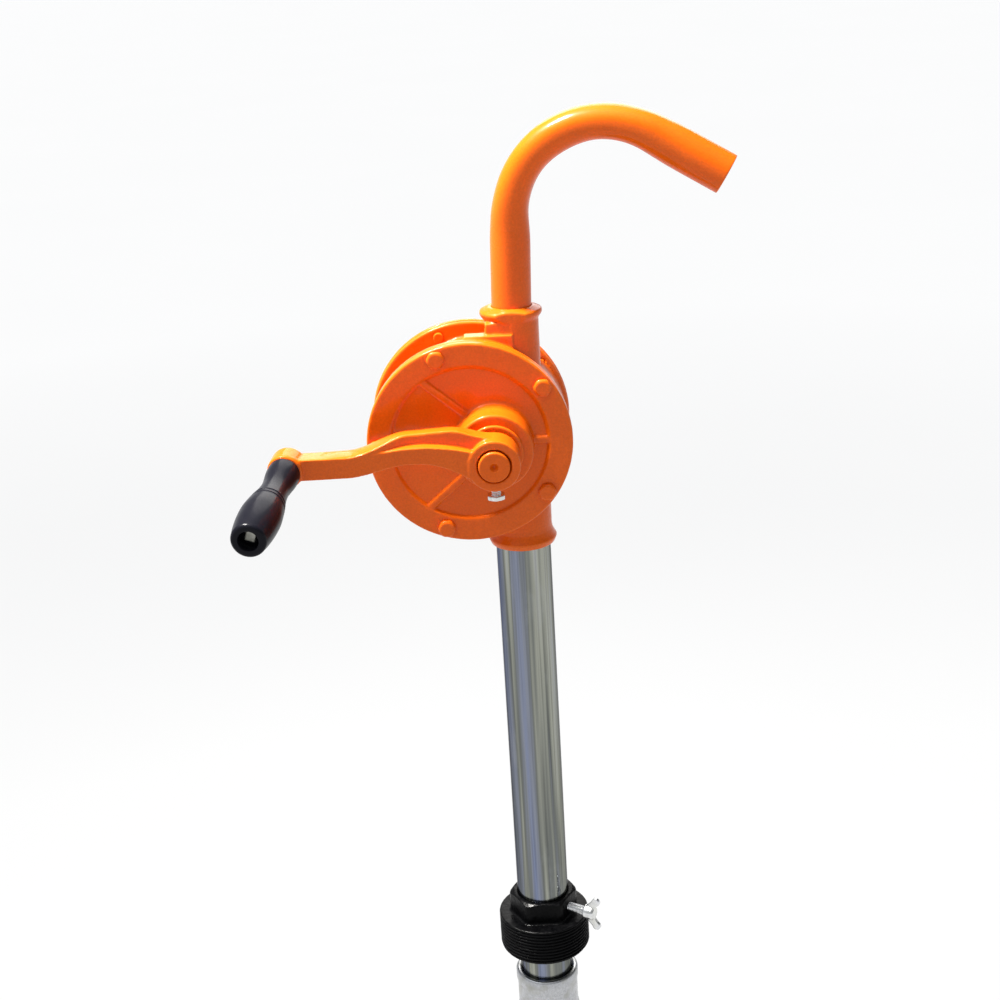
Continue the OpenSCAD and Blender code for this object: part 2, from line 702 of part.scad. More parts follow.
module crank_set_screw() {
    head_h = 3;
    head_r = 5.3;
    shank_l = 4.3;
    color(zinc) at_head() translate([-shaft_offset, set_screw_y, 0]) {
        translate([0, 0, -hub_r - shank_l]) cylinder(h = hub_r + shank_l - shaft_r - 0.02, r = bolt_r);
        translate([0, 0, -hub_r - shank_l - head_h]) rotate_extrude()
            polygon([[0, 0], [head_r - 1.3, 0], [head_r - 0.4, 0.6], [head_r, 1.4], [head_r - 0.2, 2.2],
                     [head_r - 1.2, head_h], [0, head_h]]);
    }
}

// ---- grip ----

module grip_spindle() {
    half = spindle_square / 2;
    rod_end = -grip_l + grip_recess_l - 0.2;
    color(zinc) at_head() at_grip() {
        rod_y(0, 0, rod_end, grip_boss_l, spindle_r);
        rotate([0, 18, 0]) block([-half, rod_end - spindle_square_l, -half], [half, rod_end + 1, half]);
    }
}

// Radius of the grip at distance s from the arm.
function grip_radius(s) = let (foot = 9.3, belly = 0.68 * grip_l)
    s < 0.28 * grip_l ? foot + (grip_neck_r - foot) * smooth(0.04 * grip_l, 0.26 * grip_l, s)
    : s < belly ? grip_neck_r + (grip_belly_r - grip_neck_r) * smooth(0.28 * grip_l, belly, s)
    : grip_belly_r - (grip_belly_r - grip_end_r - 1.2) * pow((s - belly) / (grip_l - belly), 2);

module handle_grip() {
    gap = 1.2;
    n = 30;
    e = 1.6;
    side = [for (i = [0:n]) let (s = gap + (grip_l - gap - e) * i / n) [grip_radius(s), -s]];
    end_r = side[n][0];
    color(plastic) at_head() at_grip() difference() {
        turned_y(0, 0) polygon(concat([[0, -gap]], side,
            arc([end_r - e, -grip_l + e], e, 0, -90), [[0, -grip_l]]));
        rod_y(0, 0, -grip_l - 1, 1, spindle_r + running_gap);
        rod_y(0, 0, -grip_l - 1, -grip_l + grip_recess_l, grip_recess_r);
    }
}

// ---- spout ----

// Frame of the spout: turned about the outlet, and leaning over about its seat.
module at_spout() {
    rotate([0, 0, -spout_turn]) translate([0, 0, outlet_seat]) rotate([0, spout_lean, 0])
        translate([0, 0, -outlet_seat]) children();
}

// Solid pipe of radius r along the spout's centreline, drawn in the frame of the bend's centre.
// The pipe is drawn a little thinner in the bend, and the straight ends reach a short way into it.
module spout_solid(r, extra = 0) {
    overlap = 0.5;
    translate([spout_bend_r, 0, spout_bend_start]) rotate([90, 0, 0]) rotate([0, 0, 180 - spout_bend]) {
        rotate_extrude(angle = spout_bend) translate([spout_bend_r, 0]) circle(r = r - bend_thinning);
        translate([spout_bend_r, overlap, 0]) rotate([90, 0, 0])
            cylinder(h = overlap + spout_end_l + extra, r = r);
        rotate([0, 0, spout_bend]) translate([spout_bend_r, -overlap, 0]) rotate([-90, 0, 0])
            cylinder(h = overlap + spout_bend_start - outlet_seat + extra, r = r);
    }
}

module spout_pipe() {
    color(paint) at_head() at_spout() difference() {
        spout_solid(spout_r);
        spout_solid(spout_r - spout_wall, extra = 1);
    }
}

bung_adapter();
wing_screw_stud();
wing_screw_head();
suction_tube_upper();
suction_tube_middle();
suction_tube_lower();
tube_coupling_upper();
tube_coupling_lower();
pump_casing();
front_cover();
rear_cover();
front_gasket();
rear_gasket();
front_cover_bolts();
rear_cover_bolts();
front_bearing_bush();
rear_bearing_bush();
shaft_packing();
gland_nut();
drive_shaft();
rotor();
rotor_key();
vane_upper();
vane_lower();
vane_springs();
crank_arm();
crank_set_screw();
grip_spindle();
handle_grip();
spout_pipe();
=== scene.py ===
"""Looks of the hand-cranked drum pump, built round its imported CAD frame. Lengths are in metres."""

import json
from collections import defaultdict
from math import acos, cos, floor, pi, radians, sin, tan

import bmesh
import bpy
import numpy as np
from mathutils import Matrix, Vector, noise


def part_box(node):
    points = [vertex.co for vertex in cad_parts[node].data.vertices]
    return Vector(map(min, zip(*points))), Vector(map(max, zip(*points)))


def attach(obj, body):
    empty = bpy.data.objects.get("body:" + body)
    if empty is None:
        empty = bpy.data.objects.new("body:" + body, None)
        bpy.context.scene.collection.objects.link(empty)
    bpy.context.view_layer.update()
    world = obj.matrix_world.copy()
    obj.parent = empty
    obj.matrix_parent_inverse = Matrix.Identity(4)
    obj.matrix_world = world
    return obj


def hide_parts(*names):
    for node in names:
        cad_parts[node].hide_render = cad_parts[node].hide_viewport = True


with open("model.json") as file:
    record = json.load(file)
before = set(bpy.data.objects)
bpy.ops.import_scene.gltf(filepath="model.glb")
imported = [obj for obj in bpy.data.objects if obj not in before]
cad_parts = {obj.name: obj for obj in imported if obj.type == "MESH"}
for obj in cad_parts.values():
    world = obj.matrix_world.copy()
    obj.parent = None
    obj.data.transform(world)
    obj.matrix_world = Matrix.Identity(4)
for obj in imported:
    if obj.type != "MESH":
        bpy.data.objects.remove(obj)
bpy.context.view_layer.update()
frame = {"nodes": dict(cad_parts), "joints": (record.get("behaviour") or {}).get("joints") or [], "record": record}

MM = 0.001
JOINTS = {joint["name"]: joint for joint in frame["joints"]}
MOUNTS = {mount["name"]: mount for mount in frame["record"]["mounts"]}

# Points on the axes that round pieces are turned about: the flanges' and the shaft's along Y,
# the tube's along Z.
cover_low, cover_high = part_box("front_cover")
flange_axis = Vector(((cover_low.x + cover_high.x) / 2, 0, (cover_low.z + cover_high.z) / 2))
shaft_axis = Vector(JOINTS["crank_spin"]["pos_m"])
tube_axis = Vector((0, 0, 0))
Y_AXIS = Vector((0, 1, 0))
Z_AXIS = Vector((0, 0, 1))


# ---- camera, light and floor ----

def add_camera():
    """Camera of the reference view: above the pump, looking down at it, held slightly askew."""
    place = Vector((0.006, -0.9426, 0.6357))
    yaw, down, roll = radians(-1.15), radians(19.89), radians(3.46)
    forward = Vector((sin(yaw) * cos(down), cos(yaw) * cos(down), -sin(down)))
    right = Vector((cos(yaw), -sin(yaw), 0))
    up = right.cross(forward)
    data = bpy.data.cameras.new("camera")
    data.lens = 58.8
    data.sensor_width = 36
    data.clip_end = 200
    camera = bpy.data.objects.new("camera", data)
    axes = (right * cos(roll) - up * sin(roll), right * sin(roll) + up * cos(roll), -forward)
    camera.matrix_world = Matrix.Translation(place) @ Matrix(axes).transposed().to_4x4()
    bpy.context.scene.collection.objects.link(camera)
    bpy.context.scene.camera = camera


def add_light(name, place, target, size, power, colour):
    """Round lamp at place that faces target; size is its diameter, power is in watts."""
    data = bpy.data.lights.new(name, "AREA")
    data.shape = "DISK"
    data.size = size
    data.energy = power
    data.color = colour
    light = bpy.data.objects.new(name, data)
    place = Vector(place)
    light.matrix_world = (Matrix.Translation(place)
                          @ (Vector(target) - place).to_track_quat("-Z", "Y").to_matrix().to_4x4())
    bpy.context.scene.collection.objects.link(light)


def add_world(base, horizon, glow, middle):
    """Studio surround: base everywhere, plus horizon low down and glow about the way to middle."""
    world = bpy.data.worlds.new("studio")
    bpy.context.scene.world = world
    world.use_nodes = True
    tree = world.node_tree
    tree.nodes.clear()
    way = node(tree, "TexCoord").outputs["Generated"]
    nearness = node(tree, "VectorMath", {0: way, 1: Vector(middle).normalized()},
                    operation="DOT_PRODUCT").outputs["Value"]
    falloff = math(tree, "POWER", math(tree, "MAXIMUM", nearness, 0.0), 4.0)
    rise = math(tree, "ABSOLUTE", node(tree, "SeparateXYZ", {0: way}).outputs["Z"])
    low = math(tree, "POWER", math(tree, "MAXIMUM", math(tree, "SUBTRACT", 1.0, rise), 0.0), 3.0)
    strength = math(tree, "ADD", math(tree, "MULTIPLY", falloff, glow),
                    math(tree, "MULTIPLY", low, horizon))
    strength = math(tree, "ADD", strength, base)
    background = node(tree, "Background", {"Color": (0.96, 0.98, 1.0, 1), "Strength": strength})
    output = node(tree, "OutputWorld")
    tree.links.new(background.outputs[0], output.inputs["Surface"])


def add_floor():
    """Plain pale floor, just under the lowest place that the tube's foot can be slid to."""
    travel = JOINTS["tube_height"]["range_m"]
    gap = 5 * MM
    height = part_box("suction_tube_lower")[0].z + min(travel) - gap
    half = 60  # metres: far enough out for its edge to be the horizon
    corners = [(x * half, y * half, height) for x, y in ((-1, -1), (1, -1), (1, 1), (-1, 1))]
    mesh = bpy.data.meshes.new("floor")
    mesh.from_pydata(corners, [], [(0, 1, 2, 3)])
    floor_object = bpy.data.objects.new("floor", mesh)
    bpy.context.scene.collection.objects.link(floor_object)
    mesh.materials.append(floor_material())


# ---- node materials ----

def node(tree, kind, inputs=None, **settings):
    """Adds a shader node; inputs are values, or sockets to link."""
    made = tree.nodes.new("ShaderNode" + kind)
    for name, value in settings.items():
        setattr(made, name, value)
    for key, value in (inputs or {}).items():
        if isinstance(value, bpy.types.NodeSocket):
            tree.links.new(value, made.inputs[key])
        else:
            made.inputs[key].default_value = value
    return made


def ramp(tree, factor, stops):
    """Colour of a ramp with the given (position, colour) stops; a colour may be one grey level."""
    made = node(tree, "ValToRGB", {"Fac": factor})
    elements = made.color_ramp.elements
    while len(elements) < len(stops):
        elements.new(0.5)
    for element, (position, colour) in zip(elements, stops):
        element.position = position
        rgb = colour if isinstance(colour, tuple) else (colour,) * 3
        element.color = (*rgb, 1)
    return made.outputs["Color"]


def math(tree, operation, a, b=0.0):
    return node(tree, "Math", {0: a, 1: b}, operation=operation).outputs[0]


def mix(tree, factor, a, b, blend="MIX"):
    """Mix of two colours."""
    made = node(tree, "Mix", data_type="RGBA", blend_type=blend)
    for key, value in ((0, factor), (6, a), (7, b)):
        if isinstance(value, bpy.types.NodeSocket):
            tree.links.new(value, made.inputs[key])
        else:
            made.inputs[key].default_value = value if key == 0 else (*value, 1)
    return made.outputs[2]


def cloud(tree, vector, size, detail=3.0, rough=0.5):
    """Noise from 0 to 1 whose lumps are about size across."""
    made = node(tree, "TexNoise", {"Vector": vector, "Scale": 0.6 / size, "Detail": detail,
                                   "Roughness": rough})
    return made.outputs["Fac"]


def bump(tree, height, depth, below=None):
    """Normal of a relief that is depth deep, laid over the normal below."""
    inputs = {"Height": height, "Distance": depth, "Strength": 1.0}
    if below is not None:
        inputs["Normal"] = below
    return node(tree, "Bump", inputs).outputs["Normal"]


def stretched(tree, vector, scale):
    """Coordinates that draw a noise out along the axes whose scale is small."""
    return node(tree, "Mapping", {"Vector": vector, "Scale": scale}).outputs[0]


def new_material(name):
    """An empty material: its node tree, its shader and its object coordinates."""
    material = bpy.data.materials.new(name)
    material.use_nodes = True
    tree = material.node_tree
    shader = tree.nodes["Principled BSDF"]
    place = node(tree, "TexCoord").outputs["Object"]
    return material, tree, shader, place


def connect(tree, shader, **sockets):
    """Links sockets to the shader's inputs, and sets the ones that are plain values."""
    names = {"colour": "Base Color", "rough": "Roughness", "normal": "Normal",
             "metal": "Metallic", "specular": "Specular IOR Level",
             "coat": "Coat Weight", "coat_rough": "Coat Roughness"}
    for key, value in sockets.items():
        if isinstance(value, bpy.types.NodeSocket):
            tree.links.new(value, shader.inputs[names[key]])
        else:
            shader.inputs[names[key]].default_value = value


# Enamel colours: the main tone; a darker one, used both for random patches and as painted shade in hollows; and a
# lighter, yellower one, used as a painted highlight on edges.
ENAMEL_DARK_TONE_AND_SHADE = (0.64, 0.082, 0.0015)
ENAMEL_MAIN = (0.7, 0.108, 0.003)
ENAMEL_EDGE_HIGHLIGHT = (0.85, 0.2, 0.016)


def enamel_colour(tree, place):
    """Orange enamel with random darker patches and grain, plus painted shade in hollows and a painted highlight on
    edges, both placed by pointiness.
    """
    bend = node(tree, "NewGeometry").outputs["Pointiness"]
    patches = cloud(tree, place, 22 * MM, 4)
    main = mix(tree, ramp(tree, patches, [(0.35, 0.0), (0.7, 1.0)]), ENAMEL_MAIN,
               tuple(0.6 * a + 0.4 * b for a, b in zip(ENAMEL_MAIN, ENAMEL_DARK_TONE_AND_SHADE)))
    # Painted shade: a darker colour in hollows, found by pointiness.
    hollows_shaded = mix(tree, ramp(tree, bend, [(0.455, 1.0), (0.495, 0.0)]), main, ENAMEL_DARK_TONE_AND_SHADE)
    # Painted highlight: a lighter, yellower colour on edges, found by pointiness.
    edges_highlit = mix(tree, ramp(tree, bend, [(0.515, 0.0), (0.57, 0.75)]), hollows_shaded, ENAMEL_EDGE_HIGHLIGHT)
    grain = cloud(tree, place, 0.7 * MM, 3, 0.6)
    return mix(tree, 1.0, edges_highlit, ramp(tree, grain, [(0.35, 0.86), (0.65, 1.0)]), "MULTIPLY")


def enamel(name, lumps, peel):
    """Glossy orange enamel; lumps is the depth of the casting's grain, peel that of the paint's."""
    material, tree, shader, place = new_material(name)
    rough = ramp(tree, cloud(tree, place, 9 * MM, 5), [(0.3, 0.24), (0.75, 0.4)])
    normal = bump(tree, cloud(tree, place, 2.6 * MM, 3, 0.55), lumps)
    normal = bump(tree, cloud(tree, place, 0.9 * MM, 2), peel, normal)
    connect(tree, shader, colour=enamel_colour(tree, place), rough=rough, normal=normal,
            specular=0.07, coat=0.3, coat_rough=0.06)
    return material


def masked_enamel(name, distance, edge, under_colour, under_rough, under_metal):
    """Enamel where distance(tree, place) is past edge, and the bare material on the other side."""
    material, tree, shader, place = new_material(name)
    wavy = math(tree, "ADD", distance(tree, place),
                math(tree, "MULTIPLY", cloud(tree, place, 3 * MM), 0.6 * MM))
    painted = math(tree, "GREATER_THAN", wavy, edge)
    grain = cloud(tree, place, 1.2 * MM, 4)
    bare = mix(tree, grain, under_colour, tuple(0.55 * c for c in under_colour))
    rough = mix(tree, painted, (under_rough,) * 3, (0.3,) * 3)
    bare_metal = math(tree, "MULTIPLY", math(tree, "SUBTRACT", 1.0, painted), under_metal)
    connect(tree, shader, colour=mix(tree, painted, bare, enamel_colour(tree, place)), rough=rough,
            metal=bare_metal, normal=bump(tree, grain, 0.06 * MM), specular=0.16,
            coat=math(tree, "MULTIPLY", painted, 0.05), coat_rough=0.1)
    return material


def black_iron():
    """Black enamel over a coarse casting, rubbed a little on its edges."""
    material, tree, shader, place = new_material("black_iron")
    grain = cloud(tree, place, 1.1 * MM, 5, 0.6)
    bend = node(tree, "NewGeometry").outputs["Pointiness"]
    colour = mix(tree, ramp(tree, grain, [(0.45, 0.0), (0.75, 1.0)]), (0.0008, 0.0008, 0.001),
                 (0.0035, 0.0035, 0.004))
    colour = mix(tree, ramp(tree, bend, [(0.54, 0.0), (0.64, 0.4)]), colour, (0.015, 0.015, 0.017))
    rough = ramp(tree, cloud(tree, place, 5 * MM, 4), [(0.3, 0.2), (0.7, 0.42)])
    normal = bump(tree, cloud(tree, place, 3.2 * MM, 3), 0.35 * MM)
    normal = bump(tree, grain, 0.16 * MM, normal)
    connect(tree, shader, colour=colour, rough=rough, normal=normal, specular=0.06, coat=0.03,
            coat_rough=0.08)
    return material


def zinc_tube():
    """Zinc plate on drawn tube: long uneven streaks, with the plating's faint blue and straw."""
    material, tree, shader, place = new_material("zinc_tube")
    streaks = cloud(tree, stretched(tree, place, (1, 1, 0.012)), 1.1 * MM, 3, 0.65)
    bands = cloud(tree, stretched(tree, place, (1, 1, 0.02)), 9 * MM, 3, 0.6)
    tint = ramp(tree, bands, [
        (0.3, (0.2, 0.24, 0.38)), (0.42, (0.24, 0.26, 0.32)), (0.5, (0.16, 0.17, 0.16)),
        (0.58, (0.34, 0.35, 0.3)), (0.7, (0.5, 0.52, 0.55))])
    dulled = ramp(tree, streaks, [(0.3, 0.62), (0.5, 0.95), (0.72, 1.0)])
    colour = mix(tree, 1.0, tint, dulled, "MULTIPLY")
    blotches = cloud(tree, stretched(tree, place, (1, 1, 0.3)), 12 * MM, 5, 0.6)
    colour = mix(tree, ramp(tree, blotches, [(0.55, 0.0), (0.78, 0.4)]), colour, (0.4, 0.42, 0.43))
    rough = ramp(tree, streaks, [(0.25, 0.1), (0.8, 0.26)])
    normal = bump(tree, streaks, 0.01 * MM)
    normal = bump(tree, blotches, 0.1 * MM, normal)
    connect(tree, shader, colour=colour, rough=rough, metal=1.0, normal=normal)
    shader.inputs["Specular Tint"].default_value = (0.35, 0.35, 0.37, 1)
    return material


def metal(name, colour, rough, size, depth, tint=None):
    """Bare or plated metal with a fine grain of the given size and depth."""
    material, tree, shader, place = new_material(name)
    grain = cloud(tree, place, size, 4, 0.6)
    patches = cloud(tree, place, 5 * size, 3)
    base = mix(tree, ramp(tree, grain, [(0.35, 0.0), (0.75, 0.7)]), colour,
               tuple(0.6 * c for c in colour))
    if tint:
        base = mix(tree, ramp(tree, patches, [(0.45, 0.0), (0.7, 0.6)]), base, tint)
    roughness = ramp(tree, patches, [(0.3, rough * 0.8), (0.7, rough * 1.35)])
    connect(tree, shader, colour=base, rough=roughness, metal=1.0, normal=bump(tree, grain, depth))
    return material


def grip_plastic():
    """Turned black plastic: faint turning lines, rubbed smoother on the belly, a little dust."""
    material, tree, shader, place = new_material("grip_plastic")
    lines = cloud(tree, stretched(tree, place, (0.02, 0.02, 1)), 0.35 * MM, 2)
    rubbed = cloud(tree, place, 11 * MM, 4)
    dust = ramp(tree, cloud(tree, place, 0.8 * MM, 5, 0.7), [(0.6, 0.0), (0.75, 0.5)])
    colour = mix(tree, dust, (0.005, 0.005, 0.008), (0.03, 0.03, 0.037))
    rough = ramp(tree, rubbed, [(0.3, 0.26), (0.72, 0.42)])
    normal = bump(tree, lines, 0.02 * MM)
    normal = bump(tree, cloud(tree, place, 1.6 * MM, 3), 0.03 * MM, normal)
    connect(tree, shader, colour=colour, rough=rough, normal=normal, specular=0.03,
            coat=0.14, coat_rough=0.16)
    return material


def packing_cord():
    """Greasy graphite cord, with the braid's diagonal ribs."""
    material, tree, shader, place = new_material("packing_cord")
    wave = node(tree, "TexWave", {"Vector": place, "Scale": 420.0, "Distortion": 2.0},
                bands_direction="DIAGONAL")
    ribs = wave.outputs["Fac"]
    colour = mix(tree, ribs, (0.02, 0.02, 0.021), (0.07, 0.07, 0.072))
    connect(tree, shader, colour=colour, rough=0.55, normal=bump(tree, ribs, 0.2 * MM))
    return material


def floor_material():
    """Pale sheet with a glow of its own, stronger far away, where the lamps don't reach."""
    material, tree, shader, place = new_material("floor")
    shade = mix(tree, cloud(tree, place, 0.7, 2), (0.24, 0.24, 0.24), (0.26, 0.26, 0.26))
    distance = node(tree, "VectorMath", {0: place}, operation="LENGTH").outputs["Value"]
    glow = ramp(tree, math(tree, "DIVIDE", distance, 6.0), [(0.1, 0.5), (0.4, 0.68), (1.0, 0.78)])
    connect(tree, shader, colour=shade, rough=0.9, specular=0.1)
    shader.inputs["Emission Color"].default_value = (1, 1, 1, 1)
    tree.links.new(glow, shader.inputs["Emission Strength"])
    return material


def distance_from_flange_axis(tree, place):
    """Distance of a point from the flanges' axis, for the gaskets' painted rims."""
    parts = node(tree, "SeparateXYZ", {0: place})
    x = math(tree, "SUBTRACT", parts.outputs["X"], flange_axis.x)
    z = math(tree, "SUBTRACT", parts.outputs["Z"], flange_axis.z)
    return math(tree, "SQRT", math(tree, "ADD", math(tree, "MULTIPLY", x, x),
                                   math(tree, "MULTIPLY", z, z)))


def distance_forward(tree, place):
    """How far a point lies towards the front, for the painted end of the shaft."""
    return math(tree, "MULTIPLY", node(tree, "SeparateXYZ", {0: place}).outputs["Y"], -1.0)


# ---- mesh tools ----

def new_piece(name, mesh):
    piece = bpy.data.objects.new(name, mesh)
    bpy.context.scene.collection.objects.link(piece)
    return piece


def dress(piece, material, body, slot, *nodes):
    """Gives a finished piece its material, smooth shading and body, and hides the CAD nodes it stands for; slot is
    not used.
    """
    piece.data.materials.clear()
    piece.data.materials.append(material)
    piece.data.polygons.foreach_set("material_index", [0] * len(piece.data.polygons))
    piece.data.shade_smooth()
    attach(piece, body)
    if nodes:
        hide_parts(*nodes)
    return piece


def clean(mesh, distance=0.2e-6):
    """Welds doubled points and points all faces outwards."""
    tidy = bmesh.new()
    tidy.from_mesh(mesh)
    bmesh.ops.remove_doubles(tidy, verts=tidy.verts, dist=distance)
    bmesh.ops.dissolve_degenerate(tidy, edges=tidy.edges, dist=distance)
    bmesh.ops.recalc_face_normals(tidy, faces=tidy.faces)
    tidy.to_mesh(mesh)
    tidy.free()


def apply_modifiers(piece):
    """Makes what the piece's modifiers give its own mesh."""
    depsgraph = bpy.context.evaluated_depsgraph_get()
    mesh = bpy.data.meshes.new_from_object(piece.evaluated_get(depsgraph))
    piece.modifiers.clear()
    piece.data = mesh


def points_of(mesh):
    flat = np.zeros(len(mesh.vertices) * 3, np.float32)
    mesh.vertices.foreach_get("co", flat)
    return flat.reshape(-1, 3).astype(float)


def put_points(mesh, points):
    mesh.vertices.foreach_set("co", points.astype(np.float32).ravel())
    mesh.update()


def about_axis(points, origin, axis):
    """Height of each point along an axis, and its offset square to the axis."""
    shifted = points - np.array(origin)
    heights = shifted @ np.array(axis)
    return heights, shifted - heights[:, None] * np.array(axis)


def true_radii(points, origin, axis, fewest=24, shortest=1.0 * MM):
    """Radii of the cylinders that a CAD mesh has about an axis."""
    heights, offsets = about_axis(points, origin, axis)
    groups = defaultdict(list)
    for radius, height in zip(np.linalg.norm(offsets, axis=1), heights):
        groups[round(radius / (0.01 * MM))].append(height)
    return [key * 0.01 * MM for key, found in groups.items()
            if key > 0 and len(found) >= fewest and max(found) - min(found) > shortest]


def round_up(points, radii, origin, axis, slack=0.09 * MM):
    """Moves points that lie on a cylinder's flat facets out to its true radius."""
    offsets = about_axis(points, origin, axis)[1]
    lengths = np.linalg.norm(offsets, axis=1)
    for radius in radii:
        near = np.abs(lengths - radius) < slack
        points[near] += offsets[near] * (radius / lengths[near] - 1)[:, None]
    return points


def roughen(mesh, depth, size):
    """Gives a casting its uneven skin."""
    points = points_of(mesh)
    normals = np.zeros(len(mesh.vertices) * 3, np.float32)
    mesh.vertices.foreach_get("normal", normals)
    normals = normals.reshape(-1, 3)
    lumps = [noise.noise(Vector(p) / size) + 0.5 * noise.noise(Vector(p) / (0.45 * size))
             for p in points]
    put_points(mesh, points + normals * np.array(lumps)[:, None] * depth)


def casting(node_name, voxel, passes, axes=(), depth=0.0, size=4 * MM):
    """A CAD node's shape with its edges and corners rounded, as sand casting and paint leave it."""
    source = frame["nodes"][node_name]
    piece = new_piece(node_name + "_skin", source.data.copy())
    clean(piece.data)
    radii = [(true_radii(points_of(piece.data), origin, axis), origin, axis)
             for origin, axis in axes]
    remesh = piece.modifiers.new("remesh", "REMESH")
    remesh.mode = "VOXEL"
    remesh.voxel_size = voxel
    apply_modifiers(piece)
    points = points_of(piece.data)
    for found, origin, axis in radii:
        points = round_up(points, found, origin, axis)
    put_points(piece.data, points)
    smooth = piece.modifiers.new("smooth", "SMOOTH")
    smooth.factor = 0.5
    smooth.iterations = passes
    apply_modifiers(piece)
    if depth:
        roughen(piece.data, depth, size)
    return piece


def turned(name, loop, segments, matrix=None, closed=True):
    """Mesh round the local Z axis; loop(angle) is the outline there, as (radius, height) points."""
    outlines = [loop(2 * pi * k / segments) for k in range(segments)]
    count = len(outlines[0])
    points = [(r * cos(2 * pi * k / segments), r * sin(2 * pi * k / segments), z)
              for k, outline in enumerate(outlines) for r, z in outline]
    steps = count if closed else count - 1
    faces = []
    for k in range(segments):
        here, there = k * count, (k + 1) % segments * count
        for i in range(steps):
            j = (i + 1) % count
            faces.append((here + i, there + i, there + j, here + j))
    mesh = bpy.data.meshes.new(name)
    mesh.from_pydata(points, [], faces)
    clean(mesh)
    piece = new_piece(name, mesh)
    piece.matrix_world = matrix or Matrix.Identity(4)
    return piece


def arc(centre, radius, start, end, steps=6):
    """Points of an arc, with angles in degrees."""
    angles = [radians(start + (end - start) * i / steps) for i in range(steps + 1)]
    return [(centre[0] + radius * cos(a), centre[1] + radius * sin(a)) for a in angles]


def line(start, end, steps):
    """Points from start up to but not including end."""
    return [tuple(a + (b - a) * i / steps for a, b in zip(start, end)) for i in range(steps)]


def smooth_step(low, high, value):
    t = min(1.0, max(0.0, (value - low) / (high - low)))
    return t * t * (3 - 2 * t)


def axis_matrix(origin, axis):
    """Frame at origin with its Z along axis."""
    return Matrix.Translation(origin) @ Vector(axis).to_track_quat("Z", "Y").to_matrix().to_4x4()


def thread(turns):
    """Height of a thread's rounded ridge, 0 in the groove and 1 on the crest."""
    ridge = 1 - abs(2 * (turns - floor(turns)) - 1)
    return smooth_step(0.12, 0.88, ridge)


# ---- pieces ----

def castings(paint):
    """The painted castings, the bolts and the painted small parts."""
    y_axes = ((flange_axis, Y_AXIS), (shaft_axis, Y_AXIS))
    z_axes = ((tube_axis, Z_AXIS),)
    for name, voxel, passes, axes, depth in (
            ("pump_casing", 0.65 * MM, 3, y_axes + z_axes, 0.05 * MM),
            ("front_cover", 0.55 * MM, 7, y_axes, 0.05 * MM),
            ("rear_cover", 0.6 * MM, 5, y_axes, 0.05 * MM),
            ("gland_nut", 0.4 * MM, 4, y_axes, 0.02 * MM)):
        dress(casting(name, voxel, passes, axes, depth), paint, "mast", "orange_paint", name)
    arm = casting("crank_arm", 0.5 * MM, 10, ((shaft_axis, Y_AXIS),), 0.06 * MM, 3 * MM)
    crown_arm(arm)
    dress(arm, paint, "crank", "orange_paint", "crank_arm")
    for name in ("front_cover_bolts", "rear_cover_bolts"):
        dress(casting(name, 0.35 * MM, 9), paint, "mast", "orange_steel", name)


def crown_arm(arm):
    """Rounds the arm's flat top and bottom between the hub and the grip's boss."""
    points = points_of(arm.data)
    normals = np.zeros(len(arm.data.vertices) * 3, np.float32)
    arm.data.vertices.foreach_get("normal", normals)
    upright = normals.reshape(-1, 3)[:, 2]
    low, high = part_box("crank_arm")
    middle, half = (low.y + high.y) / 2, (high.y - low.y) / 2
    across = (points[:, 1] - middle) / half
    outwards = shaft_axis.x - points[:, 0]
    past_hub = np.clip((outwards - 12 * MM) / (8 * MM), 0, 1)
    before_boss = np.clip((98 * MM - outwards) / (10 * MM), 0, 1)
    points[:, 2] += upright ** 3 * past_hub * before_boss * (0.7 - 1.5 * across ** 2) * MM
    put_points(arm.data, points)


def shaft():
    """Steel shaft; its front end, in the crank's hub, is painted over."""
    painted_from = 50 * MM
    bare = masked_enamel("shaft_paint", distance_forward, painted_from, (0.5, 0.5, 0.52), 0.3, 1.0)
    dress(casting("drive_shaft", 0.4 * MM, 2, ((shaft_axis, Y_AXIS),)), bare, "crank", "steel",
          "drive_shaft")


